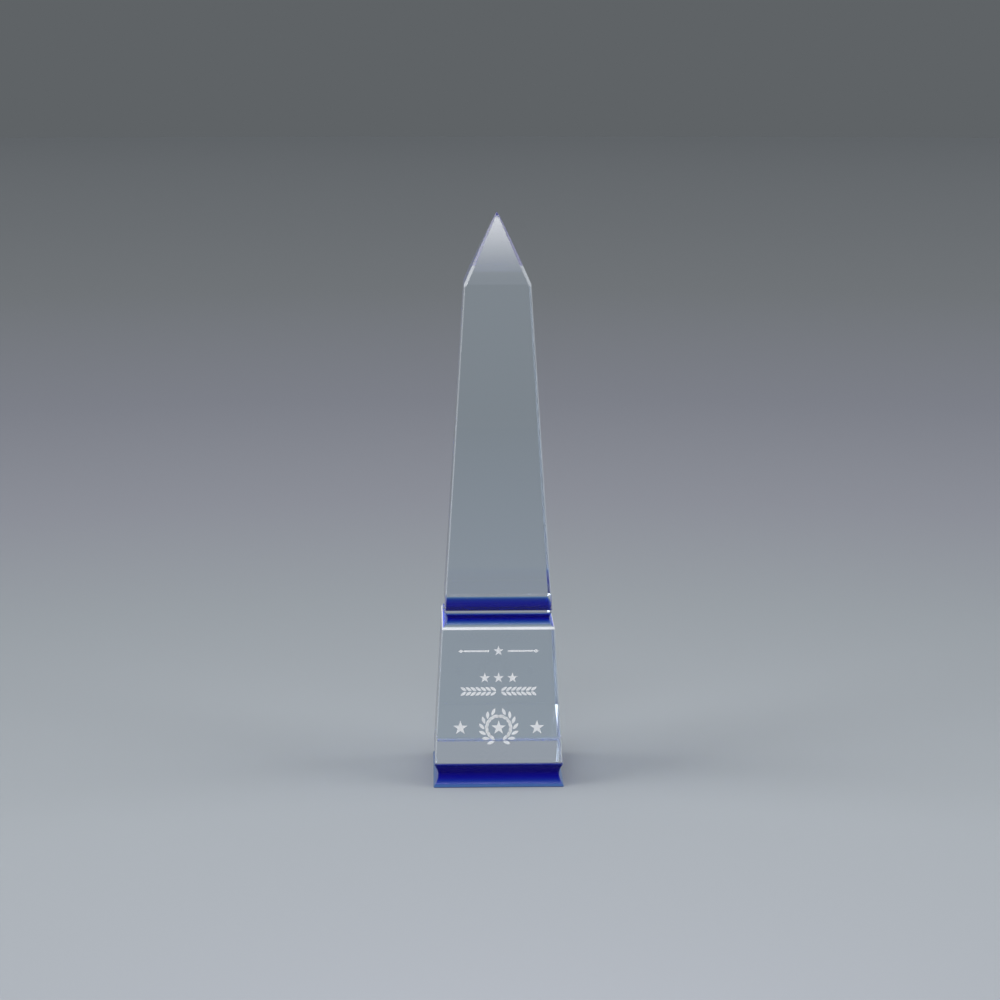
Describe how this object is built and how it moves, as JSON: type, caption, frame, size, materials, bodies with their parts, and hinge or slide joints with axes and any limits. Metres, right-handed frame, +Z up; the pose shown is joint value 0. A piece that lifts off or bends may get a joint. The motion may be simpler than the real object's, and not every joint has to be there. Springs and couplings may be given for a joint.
{
  "type": "crystal obelisk award",
  "caption": "Tapering square crystal obelisk with a pyramid point, an engraved lower block, and cobalt glass layers hollowed all round as collar and plinth.",
  "frame": {"origin": "middle of the flat underside that the award stands on", "axes": "+Z up along the obelisk, -Y out of the engraved face, +X to the right of a reader of that face"},
  "size_m": [0.07, 0.07, 0.305],
  "materials": {
    "clear_crystal": "polished optical crystal",
    "engraved_crystal": "polished optical crystal, sandblasted where engraved",
    "cobalt_crystal": "polished cobalt blue crystal",
    "clear_glue": "clear cured adhesive"
  },
  "bodies": {
    "root": {"shaft": "clear_crystal", "upper_glue_film": "clear_glue", "cobalt_collar": "cobalt_crystal", "lower_glue_film": "clear_glue", "engraved_block": "engraved_crystal", "plinth_glue_spots": "clear_glue", "cobalt_plinth": "cobalt_crystal"}
  },
  "joints": []
}
